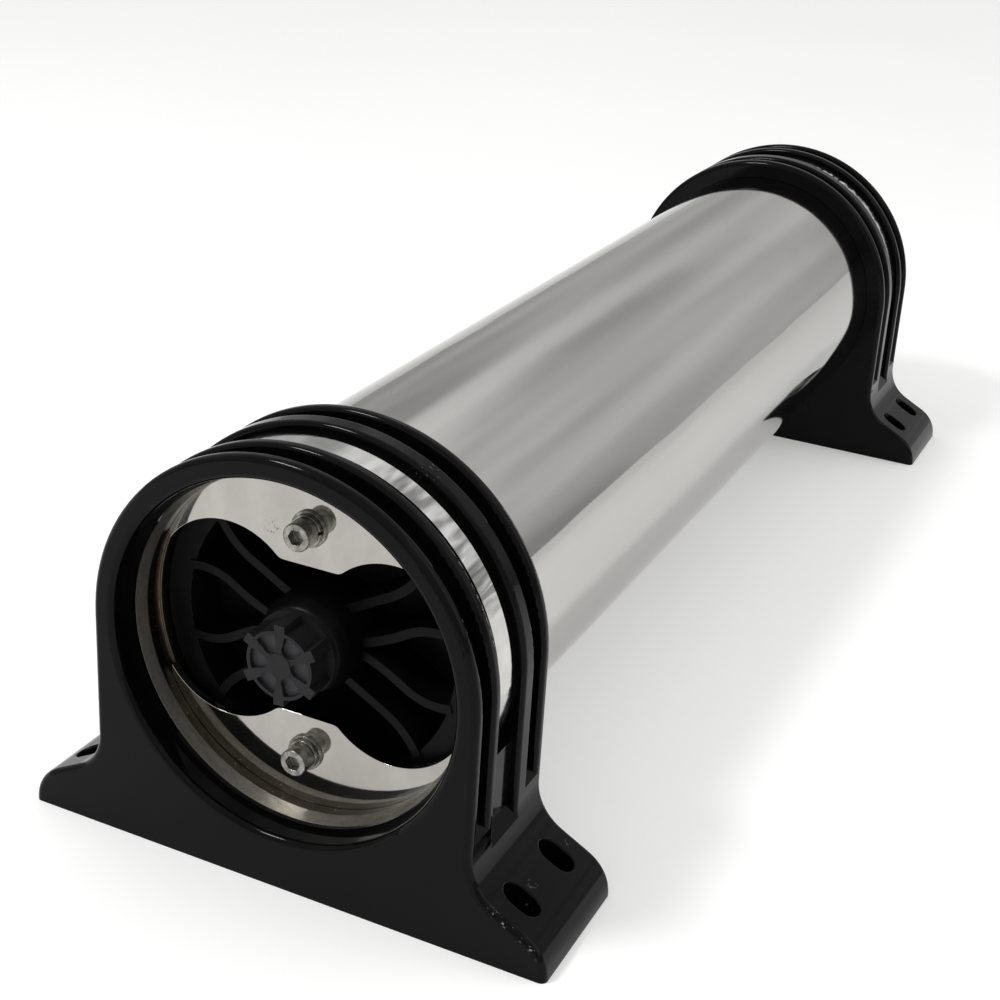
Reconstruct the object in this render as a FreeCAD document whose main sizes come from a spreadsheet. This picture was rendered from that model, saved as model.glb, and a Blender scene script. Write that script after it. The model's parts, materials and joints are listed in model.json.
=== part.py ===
import FreeCAD, Part
import Sketcher
import math
import os

from FreeCAD import Placement, Rotation, Vector

# Stainless steel filter housing, in millimetres.
# The shell lies along Y, X is across it and Z is up. The origin is the middle of the footprint on the floor.
# Both ends are alike: what belongs to an end is drawn in a frame on the shell's axis, with its origin
# in the outer face of the stand and +Y pointing into the housing, and the rear end is that frame turned round.

SIZES = {
    # whole housing
    "overall_length": 908.0,
    "axis_height": 138.0,
    # shell
    "shell_outer_radius": 104.0,
    "shell_wall": 3.0,
    "shell_recess": 18.0,
    "lead_in_length": 8.0,
    "lead_in_depth": 2.2,
    "retaining_groove_depth": 1.6,
    "plate_depth": 33.0,
    "plate_thickness": 5.0,
    "groove_end_play": 1.0,
    "plate_running_gap": 0.2,
    # ring stand
    "stand_depth": 90.0,
    "seat_clearance": 0.3,
    "ring_wall": 14.7,
    "foot_reach": 47.0,
    "stop_lip_height": 0.9,
    "stop_lip_width": 3.0,
    "mouth_clearance": 1.6,
    "mouth_rounding": 4.0,
    "outline_rounding": 4.0,
    "foot_round_radius": 26.0,
    "foot_waist_radius": 30.0,
    "foot_edge_height": 1.0,
    "foot_slope_angle": 62.0,
    "front_flange_width": 8.0,
    "outer_groove_width": 12.5,
    "second_flange_width": 8.0,
    "channel_width": 28.0,
    "third_flange_width": 13.0,
    "inner_groove_width": 12.0,
    "flange_height": 9.0,
    "groove_foot_height": 64.0,
    "groove_runout": 12.0,
    "channel_depth": 5.6,
    "channel_sill_height": 102.0,
    "flange_rounding": 3.0,
    "pocket_depth": 5.0,
    "pocket_foot_height": 50.0,
    "pocket_runout_rise": 12.0,
    "pocket_runout_width": 7.5,
    "bolt_edge_distance": 26.0,
    "bolt_spacing_along": 45.0,
    "bolt_slot_radius": 7.0,
    "bolt_slot_length": 20.0,
    "bolt_slot_rounding": 1.2,
    # strap
    "strap_width": 15.0,
    "strap_thickness": 1.1,
    "strap_seat_depth": 0.3,
    "strap_clearance": 0.05,
    "strap_slot_height": 1.7,
    "strap_side_gap": 0.4,
    # end cap
    "cap_clearance": 0.3,
    "cap_front_depth": 44.0,
    "cap_back_depth": 90.0,
    "cap_rim_width": 16.7,
    "cap_rim_chamfer": 2.0,
    "cap_floor_depth": 70.0,
    "cap_rib_depth": 43.0,
    "cap_rib_width": 5.4,
    "hub_front_depth": 23.4,
    "hub_front_radius": 25.7,
    "hub_step_depth": 33.0,
    "hub_base_radius": 29.0,
    "hub_edge": 1.2,
    "port_radius": 19.5,
    "port_length": 29.0,
    "flow_radius": 11.0,
    "boss_radius": 12.0,
    "seal_section": 4.9,
    "seal_clearance": 0.05,
    "seal_groove_width": 6.0,
    "first_seal_depth": 60.0,
    "seal_spacing": 14.0,
    # end cap ribs
    "upper_bend_inset": 41.0,
    "upper_bend_up": 35.0,
    "upper_rib_angle": 29.0,
    "upper_rib_run": 30.0,
    "upper_rib_radius": 52.0,
    "upper_rib_arc_angle": 34.0,
    "side_bend_inset": 30.0,
    "side_bend_up": 16.0,
    "side_rib_angle": 33.0,
    "side_inner_radius": 110.0,
    "side_inner_arc_angle": 17.0,
    "side_outer_radius": 38.0,
    "side_outer_arc_angle": 46.0,
    # retaining plates
    "plate_tip_inset": 11.0,
    "plate_flat_height": 46.0,
    "scallop_inset": 49.0,
    "scallop_up": 14.0,
    "scallop_radius": 46.0,
    "plate_corner_rounding": 7.0,
    "screw_inset": 32.3,
    "screw_hole_radius": 5.5,
    # retaining screws
    "screw_radius": 5.0,
    "screw_head_radius": 8.0,
    "screw_head_height": 10.0,
    "screw_length": 32.0,
    "screw_tip_gap": 1.0,
    "screw_fit": 0.05,
    "socket_half_width": 4.0,
    "socket_depth": 5.0,
    "head_chamfer": 0.6,
    "spring_washer_radius": 9.1,
    "spring_washer_thickness": 2.5,
    "spring_washer_angle": 350.0,
    "flat_washer_radius": 10.5,
    "flat_washer_thickness": 2.0,
    "washer_bore_radius": 5.3,
    # port plug
    "plug_face_depth": 3.6,
    "plug_drum_radius": 20.2,
    "plug_vane_radius": 24.0,
    "plug_vane_width": 6.4,
    "plug_vane_root": 17.0,
    "plug_flange_radius": 24.6,
    "plug_flange_thickness": 3.5,
    "plug_pocket_inner": 12.4,
    "plug_pocket_outer": 18.2,
    "plug_pocket_angle": 41.0,
    "plug_pocket_depth": 3.2,
    "plug_disc_radius": 7.3,
    "plug_disc_rise": 0.4,
    "plug_shank_length": 20.0,
    "plug_shank_clearance": 0.06,
    "plug_neck_depth": 2.6,
    "plug_seal_section": 2.4,
    # filter element
    "element_gap": 18.0,
    "element_inset": 3.0,
    "disc_thickness": 14.0,
    "disc_clearance": 0.2,
    "disc_hole_radius": 9.0,
    "disc_hole_inset": 39.0,
    "core_outer_radius": 19.0,
    "core_inner_radius": 15.0,
    "core_end_reach": 6.0,
    "lip_seal_height": 4.4,
    "lip_seal_width": 7.0,
    "lip_seal_wall": 1.4,
    "adapter_clearance": 0.1,
    "adapter_bore_radius": 10.0,
    "adapter_reach": 18.0,
    "adapter_collar_radius": 18.5,
    "adapter_collar_length": 8.0,
    "adapter_seal_section": 2.6,
    "thrust_ring_inset": 11.0,
    "thrust_ring_width": 12.0,
}

doc = FreeCAD.newDocument("FilterHousing")
sheet = doc.addObject("Spreadsheet::Sheet", "Sizes")
for row, (name, value) in enumerate(SIZES.items(), start=1):
    sheet.set("A%d" % row, name)
    sheet.set("B%d" % row, repr(value))
    sheet.setAlias("B%d" % row, name)
doc.recompute()


class Size:
    """A size with its value and the formula that gives it."""

    def __init__(self, value, formula):
        self.value = float(value)
        self.formula = formula

    @staticmethod
    def of(other):
        return other if isinstance(other, Size) else Size(other, repr(float(other)))

    def join(self, other, sign, value):
        return Size(value, "(%s %s %s)" % (self.formula, sign, other.formula))

    def __add__(self, other):
        other = Size.of(other)
        return self.join(other, "+", self.value + other.value)

    def __sub__(self, other):
        other = Size.of(other)
        return self.join(other, "-", self.value - other.value)

    def __mul__(self, other):
        other = Size.of(other)
        return self.join(other, "*", self.value * other.value)

    def __truediv__(self, other):
        other = Size.of(other)
        return self.join(other, "/", self.value / other.value)

    def __neg__(self):
        return Size(-self.value, "(-1 * %s)" % self.formula)

    def __radd__(self, other):
        return Size.of(other) + self

    def __rsub__(self, other):
        return Size.of(other) - self

    def __rmul__(self, other):
        return Size.of(other) * self


def sine(angle):
    return Size(math.sin(math.radians(angle.value)), "sin(%s)" % angle.formula)


def cosine(angle):
    return Size(math.cos(math.radians(angle.value)), "cos(%s)" % angle.formula)


def root(area):
    return Size(math.sqrt(area.value), "sqrt(%s)" % area.formula)


def square(length):
    return length * length


class Named:
    """The sizes of the sheet, each under its own name."""


s = Named()
for name, value in SIZES.items():
    setattr(s, name, Size(value, "Sizes." + name))

ZERO = Size(0, "0")

# Sizes that follow from the driving ones.
half_length = s.overall_length / 2
shell_inner_radius = s.shell_outer_radius - s.shell_wall
retaining_groove_radius = shell_inner_radius + s.retaining_groove_depth
seat_radius = s.shell_outer_radius + s.seat_clearance
ring_outer_radius = seat_radius + s.ring_wall
half_base = ring_outer_radius + s.foot_reach
bolt_across = half_base - s.bolt_edge_distance
mouth_radius = s.shell_outer_radius + s.mouth_clearance
channel_start = s.front_flange_width + s.outer_groove_width + s.second_flange_width
channel_radius = ring_outer_radius - s.channel_depth
strap_seat_radius = channel_radius - s.strap_seat_depth
cap_radius = shell_inner_radius - s.cap_clearance
cap_rim_radius = cap_radius - s.cap_rim_width
screw_height = shell_inner_radius - s.screw_inset
seal_floor_radius = shell_inner_radius - s.seal_section - s.seal_clearance * 2
plate_back_depth = s.plate_depth + s.plate_thickness
element_start = s.cap_back_depth + s.element_gap + s.disc_thickness
core_start = s.cap_back_depth + s.element_gap - s.core_end_reach
adapter_radius = s.core_inner_radius - s.adapter_clearance


def plane_of(body, role):
    """The body's own origin plane with that role."""
    for feature in body.Origin.OriginFeatures:
        if feature.Role == role:
            return feature
    raise RuntimeError("no plane " + role)


class Outline:
    """Closed loops on one of a body's planes, every corner and radius tied to the sizes."""

    def __init__(self, body, name, plane, lift=None):
        self.sketch = body.newObject("Sketcher::SketchObject", name)
        self.sketch.AttachmentSupport = [(plane_of(body, plane), "")]
        self.sketch.MapMode = "FlatFace"
        if lift is not None:
            self.sketch.AttachmentOffset = Placement(Vector(0, 0, lift.value), Rotation())
            self.sketch.setExpression("AttachmentOffset.Base.z", lift.formula)

    def tie(self, kind, *reference, size):
        index = self.sketch.addConstraint(Sketcher.Constraint(kind, *reference, size.value))
        self.sketch.setExpression("Constraints[%d]" % index, size.formula)

    def hold(self, edge, end, kind, size):
        """Hold one point of an edge at a distance from the origin along or across the sketch."""
        if size is ZERO:
            axis = -2 if kind == "DistanceX" else -1
            self.sketch.addConstraint(Sketcher.Constraint("PointOnObject", edge, end, axis))
        else:
            self.tie(kind, -1, 1, edge, end, size=size)

    def pin(self, edge, end, point):
        """Hold one point of an edge at its place."""
        self.hold(edge, end, "DistanceX", point[0])
        self.hold(edge, end, "DistanceY", point[1])

    def shape_arc(self, edge, corner, chord):
        """Give an arc its radius; a half circle has it already, so it needs the place of its centre."""
        middle, radius = corner[2], corner[3]
        if abs(chord.Length - 2 * radius.value) > 1e-6:
            self.tie("Radius", edge, size=radius)
        elif abs(chord.x) < abs(chord.y):
            self.hold(edge, 3, "DistanceX", middle[0])
        else:
            self.hold(edge, 3, "DistanceY", middle[1])

    def loop(self, corners):
        """Join corners with lines, or with an arc where a corner carries a centre, radius and turn sign."""
        edges = []
        count = len(corners)
        for index, corner in enumerate(corners):
            start = Vector(corner[0].value, corner[1].value, 0)
            after = corners[(index + 1) % count]
            end = Vector(after[0].value, after[1].value, 0)
            if len(corner) == 2:
                edges.append(self.sketch.addGeometry(Part.LineSegment(start, end), False))
                continue
            middle, radius, turn = corner[2], corner[3], corner[4]
            centre = Vector(middle[0].value, middle[1].value, 0)
            first = math.atan2(start.y - centre.y, start.x - centre.x)
            last = math.atan2(end.y - centre.y, end.x - centre.x)
            circle = Part.Circle(centre, Vector(0, 0, 1), radius.value)
            if turn > 0:
                arc = Part.ArcOfCircle(circle, first, last)
            else:
                arc = Part.ArcOfCircle(circle, last, first)
            edges.append(self.sketch.addGeometry(arc, False))
        for index, edge in enumerate(edges):
            clockwise = len(corners[index]) > 2 and corners[index][4] < 0
            following = (index + 1) % count
            next_clockwise = len(corners[following]) > 2 and corners[following][4] < 0
            start_end = 2 if clockwise else 1
            far_end = 1 if clockwise else 2
            next_start = 2 if next_clockwise else 1
            self.sketch.addConstraint(
                Sketcher.Constraint("Coincident", edge, far_end, edges[following], next_start))
            self.pin(edge, start_end, corners[index])
            if len(corners[index]) > 2:
                here = corners[index]
                there = corners[following]
                chord = Vector(there[0].value - here[0].value, there[1].value - here[1].value, 0)
                self.shape_arc(edge, here, chord)
        return self

    def circle(self, centre, radius):
        place = Vector(centre[0].value, centre[1].value, 0)
        edge = self.sketch.addGeometry(Part.Circle(place, Vector(0, 0, 1), radius.value), False)
        self.pin(edge, 3, centre)
        self.tie("Radius", edge, size=radius)
        return self


def new_body(label, along, turned=False, upside_down=False):
    """A body whose frame lies on the shell's axis at a place along it."""
    body = doc.addObject("PartDesign::Body", label)
    body.Label = label
    turn = Rotation(Vector(0, 0, 1), 180 if turned else 0)
    flip = Rotation(Vector(0, 1, 0), 180 if upside_down else 0)
    body.Placement = Placement(Vector(0, along.value, s.axis_height.value), turn.multiply(flip))
    body.setExpression(".Placement.Base.y", along.formula)
    body.setExpression(".Placement.Base.z", s.axis_height.formula)
    return body


def end_body(end, name, upside_down=False):
    """A body of the front or rear end, in the frame of that end."""
    rear = end == "rear"
    return new_body(end + "_" + name, half_length if rear else -half_length, rear, upside_down)


def volume_of(body):
    doc.recompute()
    return body.Shape.Volume


def turned_solid(body, name, corners, angle=None):
    """Revolve a section of radius and depth about the shell's axis."""
    outline = Outline(body, name + "_section", "XY_Plane").loop(corners)
    solid = body.newObject("PartDesign::Revolution", name)
    solid.Profile = outline.sketch
    solid.ReferenceAxis = (outline.sketch, ["V_Axis"])
    solid.Angle = 360.0
    if angle is not None:
        solid.Angle = angle.value
        solid.setExpression("Angle", angle.formula)
    outline.sketch.Visibility = False
    doc.recompute()
    return solid


def turned_cut(body, name, corners):
    """Cut a ring out of a body, by a section of radius and depth."""
    before = volume_of(body)
    outline = Outline(body, name + "_section", "XY_Plane").loop(corners)
    groove = body.newObject("PartDesign::Groove", name)
    groove.Profile = outline.sketch
    groove.ReferenceAxis = (outline.sketch, ["V_Axis"])
    groove.Angle = 360.0
    check_smaller(body, before, name)
    return groove


def check_smaller(body, before, name):
    if volume_of(body) > before - 1e-3:
        raise RuntimeError(name + " cuts nothing")


def check_larger(body, before, name):
    if volume_of(body) < before + 1e-3:
        raise RuntimeError(name + " adds nothing")


def raised(body, name, outline, length):
    """Pad an outline on a plane across the shell, into the housing."""
    before = volume_of(body) if body.Tip else 0.0
    pad = body.newObject("PartDesign::Pad", name)
    pad.Profile = outline.sketch
    pad.Length = length.value
    pad.setExpression("Length", length.formula)
    pad.Reversed = True
    check_larger(body, before, name)
    return pad


def sunk(body, name, outline, length, through=False):
    """Pocket an outline on a plane across the shell, into the housing."""
    before = volume_of(body)
    pocket = body.newObject("PartDesign::Pocket", name)
    pocket.Profile = outline.sketch
    if through:
        pocket.Type = "ThroughAll"
        pocket.Midplane = True
    else:
        pocket.Length = length.value
        pocket.setExpression("Length", length.formula)
    check_smaller(body, before, name)
    return pocket


def repeated(body, name, features, count):
    """Repeat features evenly about the shell's axis."""
    pattern = body.newObject("PartDesign::PolarPattern", name)
    pattern.Originals = features
    axis = next(item for item in body.Origin.OriginFeatures if item.Role == "Y_Axis")
    pattern.Axis = (axis, [""])
    pattern.Angle = 360.0
    pattern.Occurrences = count
    body.Tip = pattern
    doc.recompute()
    return pattern


def mirrored(body, name, features, plane):
    """Mirror features in one of the body's planes."""
    mirror = body.newObject("PartDesign::Mirrored", name)
    mirror.Originals = features
    mirror.MirrorPlane = (plane_of(body, plane), [""])
    body.Tip = mirror
    doc.recompute()
    return mirror


def rounded_edges(body, name, radius, wanted):
    """Round the edges of a body that a test picks out."""
    doc.recompute()
    base = body.Tip
    names = ["Edge%d" % number for number, edge in enumerate(base.Shape.Edges, start=1) if wanted(edge)]
    if not names:
        raise RuntimeError(name + " finds no edges")
    fillet = body.newObject("PartDesign::Fillet", name)
    fillet.Base = (base, names)
    fillet.Radius = radius.value
    fillet.setExpression("Radius", radius.formula)
    doc.recompute()
    return fillet


def lies_at(edge, depth):
    box = edge.BoundBox
    return abs(box.YMin - depth) < 1e-3 and abs(box.YMax - depth) < 1e-3


# Shell: one tube, bevelled inside at both mouths, with a groove for the retaining plates near each.
def build_shell():
    body = new_body("shell_tube", ZERO)
    outer = s.shell_outer_radius
    inner = shell_inner_radius
    mouth = half_length - s.shell_recess
    mouth_radius = inner + s.lead_in_depth
    groove_front = half_length - s.plate_depth + s.plate_running_gap
    groove_back = half_length - plate_back_depth - s.groove_end_play
    bevel_end = mouth - s.lead_in_length
    floor = retaining_groove_radius
    turned_solid(body, "tube", [
        (outer, -mouth), (outer, mouth), (mouth_radius, mouth), (inner, bevel_end),
        (inner, groove_front), (floor, groove_front), (floor, groove_back), (inner, groove_back),
        (inner, -groove_back), (floor, -groove_back), (floor, -groove_front), (inner, -groove_front),
        (inner, -bevel_end), (mouth_radius, -mouth)])
    return body


def stand_outline():
    """Half ring over straight sides, waisted into feet with rounded ends, over a flat base."""
    base = -s.axis_height
    turn_sine = sine(s.foot_slope_angle)
    turn_cosine = cosine(s.foot_slope_angle)
    toe_centre_x = half_base - s.foot_round_radius
    toe_centre_z = base + s.foot_edge_height
    toe_x = toe_centre_x + s.foot_round_radius * turn_cosine
    toe_z = toe_centre_z + s.foot_round_radius * turn_sine
    waist_centre_x = ring_outer_radius + s.foot_waist_radius
    waist_x = waist_centre_x - s.foot_waist_radius * turn_cosine
    waist_z = toe_z + (toe_x - waist_x) * turn_cosine / turn_sine
    waist_centre_z = waist_z + s.foot_waist_radius * turn_sine
    ring = ring_outer_radius
    return [
        (-half_base, base), (half_base, base),
        (half_base, toe_centre_z, (toe_centre_x, toe_centre_z), s.foot_round_radius, 1),
        (toe_x, toe_z),
        (waist_x, waist_z, (waist_centre_x, waist_centre_z), s.foot_waist_radius, -1),
        (ring, waist_centre_z),
        (ring, ZERO, (ZERO, ZERO), ring, 1),
        (-ring, ZERO),
        (-ring, waist_centre_z, (-waist_centre_x, waist_centre_z), s.foot_waist_radius, -1),
        (-waist_x, waist_z),
        (-toe_x, toe_z, (-toe_centre_x, toe_centre_z), s.foot_round_radius, 1),
        (-half_base, toe_centre_z)]


def ring_groove_outline():
    """The band outside the groove floor, over the arch and down both sides, running out at its feet."""
    floor = ring_outer_radius - s.flange_height
    clear = half_base
    foot = s.groove_foot_height - s.axis_height
    rise = foot + s.groove_runout
    edge = ring_outer_radius + s.flange_height / 4
    return [
        (-floor, rise), (-floor, ZERO, (ZERO, ZERO), floor, -1), (floor, ZERO), (floor, rise),
        (edge, foot), (clear, foot), (clear, clear), (-clear, clear), (-clear, foot), (-edge, foot)]


def channel_outline():
    """The strap's channel over the arch, down to a sill, with a shallow pocket below it on each side."""
    clear = half_base
    sill = s.channel_sill_height - s.axis_height
    floor_x = root(square(channel_radius) - square(sill))
    pocket = ring_outer_radius - s.pocket_depth
    foot = s.pocket_foot_height - s.axis_height
    rise = foot + s.pocket_runout_rise
    edge = pocket + s.pocket_runout_width
    return [
        (-pocket, sill), (-floor_x, sill, (ZERO, ZERO), channel_radius, -1), (floor_x, sill),
        (pocket, sill), (pocket, rise), (edge, foot), (clear, foot),
        (clear, clear), (-clear, clear), (-clear, foot), (-edge, foot), (-pocket, rise)]


def bolt_slot(outline, across, along):
    """One slot, rounded at both ends and longer across the housing."""
    half_run = s.bolt_slot_length / 2 - s.bolt_slot_radius
    radius = s.bolt_slot_radius
    left = across - half_run
    right = across + half_run
    outline.loop([
        (left, along - radius), (right, along - radius, (right, along), radius, 1),
        (right, along + radius), (left, along + radius, (left, along), radius, 1)])


# Ring stand: one solid with four flanges round its arch, a channel for the strap, and slotted feet.
def build_stand(end):
    body = end_body(end, "stand")
    raised(body, "outline", Outline(body, "outline_sketch", "XZ_Plane").loop(stand_outline()), s.stand_depth)
    rounded_edges(body, "outline_rounding", s.outline_rounding, is_outline_edge)
    lip_radius = s.shell_outer_radius - s.stop_lip_height
    lip_front = s.shell_recess - s.stop_lip_width
    turned_cut(body, "bore", [
        (ZERO, -s.stop_lip_width), (mouth_radius, -s.stop_lip_width), (mouth_radius, lip_front),
        (lip_radius, lip_front), (lip_radius, s.shell_recess), (seat_radius, s.shell_recess),
        (seat_radius, s.stand_depth + s.stop_lip_width), (ZERO, s.stand_depth + s.stop_lip_width)])
    rounded_edges(body, "mouth_rounding", s.mouth_rounding, lambda edge: lies_at(edge, 0) and is_mouth_edge(edge))
    outer_groove = s.front_flange_width
    inner_groove = channel_start + s.channel_width + s.third_flange_width
    bands = (("outer_groove", outer_groove, s.outer_groove_width, ring_groove_outline),
             ("channel", channel_start, s.channel_width, channel_outline),
             ("inner_groove", inner_groove, s.inner_groove_width, ring_groove_outline))
    faces = []
    for name, depth, width, outline in bands:
        sketch = Outline(body, name + "_sketch", "XZ_Plane", lift=-depth).loop(outline())
        sunk(body, name, sketch, width)
        faces += [depth.value, (depth + width).value]
    rounded_edges(body, "flange_rounding", s.flange_rounding, lambda edge: is_flange_edge(edge, faces))
    slots = Outline(body, "slots_sketch", "XY_Plane")
    for side in (-1, 1):
        for step in (-1, 1):
            along = s.stand_depth / 2 + step * s.bolt_spacing_along / 2
            bolt_slot(slots, side * bolt_across, along)
    sunk(body, "bolt_slots", slots, None, through=True)
    rounded_edges(body, "bolt_slot_rounding", s.bolt_slot_rounding, is_slot_rim)
    middle = channel_start + s.channel_width / 2
    half = s.strap_width / 2 + s.strap_side_gap
    slot_radius = strap_seat_radius + s.strap_slot_height
    turned_cut(body, "strap_slot", [
        (strap_seat_radius, middle - half), (slot_radius, middle - half),
        (slot_radius, middle + half), (strap_seat_radius, middle + half)])
    return body


# Strap: a thin hoop in the stand's channel that passes through the stand below its sills.
def build_strap(end):
    body = end_body(end, "strap")
    middle = channel_start + s.channel_width / 2
    half = s.strap_width / 2
    inner = strap_seat_radius + s.strap_clearance
    outer = inner + s.strap_thickness
    turned_solid(body, "hoop", [
        (inner, middle - half), (outer, middle - half), (outer, middle + half), (inner, middle + half)])
    return body


def is_outline_edge(edge):
    """An edge of the front or back face above the base."""
    at_face = lies_at(edge, 0) or lies_at(edge, s.stand_depth.value)
    return at_face and edge.BoundBox.ZMax > -s.axis_height.value + 1e-3


def is_flange_edge(edge, faces):
    """An edge at the rim of a flange, on the arch or on the straight sides below it."""
    if not any(lies_at(edge, depth) for depth in faces):
        return False
    box = edge.BoundBox
    rim = ring_outer_radius.value
    on_arch = abs(getattr(edge.Curve, "Radius", 0) - rim) < 1e-3
    on_side = box.XLength < 1e-3 and abs(abs(box.XMin) - rim) < 1e-3
    return on_arch or on_side


def is_mouth_edge(edge):
    radius = getattr(edge.Curve, "Radius", 0)
    return abs(radius - mouth_radius.value) < 1e-3


def is_slot_rim(edge):
    """An edge of a bolt slot where it opens through the top of a foot."""
    box = edge.BoundBox
    reach = s.bolt_slot_length.value / 2 + 1e-3
    across = max(abs(abs(box.XMin) - bolt_across.value), abs(abs(box.XMax) - bolt_across.value))
    upright = box.XLength < 1e-3 and box.YLength < 1e-3
    inside = 1 < box.YMin and box.YMax < s.stand_depth.value - 1
    return across < reach and inside and not upright and box.ZMin > 1 - s.axis_height.value


def rib_corners(bend, angle, inner, outer):
    """A curved rib through a bend point: an inner stretch back to the hub, an outer one on to the rim.

    Each stretch is (radius, turn in degrees, side of its centre). A radius of None is a straight
    stretch whose second value is its length."""
    half = s.cap_rib_width / 2

    def offset(point, direction, across):
        return (point[0] - sine(direction) * across, point[1] + cosine(direction) * across)

    def stretch(sign, radius, turn, side):
        """Centre and direction at the far end of an arc that leaves the bend forwards or backwards."""
        centre = offset(bend, angle, side * radius)
        end_angle = angle + sign * side * turn
        end = offset(centre, end_angle, -side * radius)
        return centre, end_angle, end

    corners = []
    centre_out, angle_out, end_out = stretch(1, *outer)
    right_start = offset(bend, angle, -half)
    left_start = offset(bend, angle, half)
    right_end = offset(end_out, angle_out, -half)
    left_end = offset(end_out, angle_out, half)
    side = outer[2]
    corners.append((*right_start, centre_out, outer[0] + side * half, side))
    corners.append(right_end)
    corners.append((*left_end, centre_out, outer[0] - side * half, -side))
    if inner[0] is None:
        run = inner[1]
        back = (bend[0] - cosine(angle) * run, bend[1] - sine(angle) * run)
        corners.append(left_start)
        corners.append(offset(back, angle, half))
        corners.append(offset(back, angle, -half))
        return corners
    centre_in, angle_in, end_in = stretch(-1, *inner)
    side = inner[2]
    corners.append((*left_start, centre_in, inner[0] - side * half, -side))
    corners.append(offset(end_in, angle_in, half))
    corners.append((*offset(end_in, angle_in, -half), centre_in, inner[0] + side * half, side))
    return corners


# End cap: moulded disc with a rim, curved ribs, two screw bosses, a central port and two seal grooves.
def build_cap(end):
    body = end_body(end, "end_cap")
    seal_width = s.seal_groove_width
    first = s.first_seal_depth
    second = first + s.seal_spacing
    port_end = s.hub_front_depth + s.port_length
    socket_start = s.cap_back_depth - s.adapter_reach
    socket_radius = s.core_inner_radius
    front = s.cap_front_depth
    chamfer = s.cap_rim_chamfer
    hub_edge = s.hub_front_depth + s.hub_edge
    corners = [
        (s.port_radius, s.hub_front_depth), (s.hub_front_radius - s.hub_edge, s.hub_front_depth),
        (s.hub_front_radius, hub_edge), (s.hub_base_radius, s.hub_step_depth),
        (s.hub_base_radius, s.cap_floor_depth), (cap_rim_radius - chamfer, s.cap_floor_depth),
        (cap_rim_radius, front), (cap_radius - chamfer, front), (cap_radius, front + chamfer)]
    for middle in (first, second):
        corners += [
            (cap_radius, middle - seal_width / 2), (seal_floor_radius, middle - seal_width / 2),
            (seal_floor_radius, middle + seal_width / 2), (cap_radius, middle + seal_width / 2)]
    corners += [
        (cap_radius, s.cap_back_depth - chamfer), (cap_radius - chamfer, s.cap_back_depth),
        (socket_radius, s.cap_back_depth), (socket_radius, socket_start),
        (s.flow_radius, socket_start), (s.flow_radius, port_end), (s.port_radius, port_end)]
    turned_solid(body, "disc", corners)
    ribs = Outline(body, "ribs_sketch", "XZ_Plane", lift=-s.cap_rib_depth)
    ribs.loop(rib_corners(
        (cap_rim_radius - s.upper_bend_inset, s.upper_bend_up), s.upper_rib_angle,
        (None, s.upper_rib_run), (s.upper_rib_radius, s.upper_rib_arc_angle, 1)))
    ribs.loop(rib_corners(
        (cap_rim_radius - s.side_bend_inset, s.side_bend_up), s.side_rib_angle,
        (s.side_inner_radius, s.side_inner_arc_angle, 1),
        (s.side_outer_radius, s.side_outer_arc_angle, -1)))
    rib_pair = raised(body, "ribs", ribs, s.cap_floor_depth - s.cap_rib_depth + s.cap_rim_chamfer)
    mirrored(body, "ribs_left", [rib_pair], "YZ_Plane")
    mirrored(body, "ribs_below", [rib_pair], "XY_Plane")
    repeated(body, "ribs_opposite", [rib_pair], 2)
    bosses = Outline(body, "bosses_sketch", "XZ_Plane", lift=-plate_back_depth)
    for side in (-1, 1):
        bosses.circle((ZERO, side * screw_height), s.boss_radius)
    raised(body, "bosses", bosses, s.cap_floor_depth - plate_back_depth + s.cap_rim_chamfer)
    holes = Outline(body, "screw_holes_sketch", "XZ_Plane", lift=-plate_back_depth)
    for side in (-1, 1):
        holes.circle((ZERO, side * screw_height), s.screw_radius + s.screw_fit)
    screw_reach = s.screw_length - s.plate_thickness - s.spring_washer_thickness - s.flat_washer_thickness
    sunk(body, "screw_holes", holes, screw_reach + s.screw_tip_gap)
    return body


scallop_across = shell_inner_radius - s.scallop_inset
plate_flat_run = root(square(s.scallop_radius) - square(s.plate_flat_height - s.scallop_up))
plate_flat_half = scallop_across - plate_flat_run


def plate_outline():
    """A crescent: round outside, cut square at its tips, with a flat between two scallops inside."""
    outer = retaining_groove_radius - s.plate_running_gap
    half_width = shell_inner_radius - s.plate_tip_inset
    tip_top = root(square(outer) - square(half_width))
    tip_run = half_width - scallop_across
    tip_bottom = s.scallop_up + root(square(s.scallop_radius) - square(tip_run))
    right = (scallop_across, s.scallop_up)
    left = (-scallop_across, s.scallop_up)
    return [
        (half_width, tip_top, (ZERO, ZERO), outer, 1),
        (-half_width, tip_top),
        (-half_width, tip_bottom, left, s.scallop_radius, -1),
        (-plate_flat_half, s.plate_flat_height),
        (plate_flat_half, s.plate_flat_height, right, s.scallop_radius, -1),
        (half_width, tip_bottom)]


def is_flat_end(edge):
    """An edge through the plate at either end of its inner flat."""
    box = edge.BoundBox
    upright = box.XLength < 1e-3 and box.ZLength < 1e-3
    across = abs(abs(box.XMin) - plate_flat_half.value)
    return upright and across < 1e-3 and abs(box.ZMin - s.plate_flat_height.value) < 1e-3


# Retaining plate: a crescent in the shell's groove, drawn together with the cap by one screw.
def build_plate(end, place):
    body = end_body(end, place + "_plate", place == "lower")
    outline = Outline(body, "crescent_sketch", "XZ_Plane", lift=-s.plate_depth).loop(plate_outline())
    raised(body, "crescent", outline, s.plate_thickness)
    rounded_edges(body, "flat_ends", s.plate_corner_rounding, is_flat_end)
    hole = Outline(body, "hole_sketch", "XZ_Plane", lift=-s.plate_depth)
    hole.circle((ZERO, screw_height), s.screw_hole_radius)
    sunk(body, "screw_hole", hole, s.plate_thickness)
    return body


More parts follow.
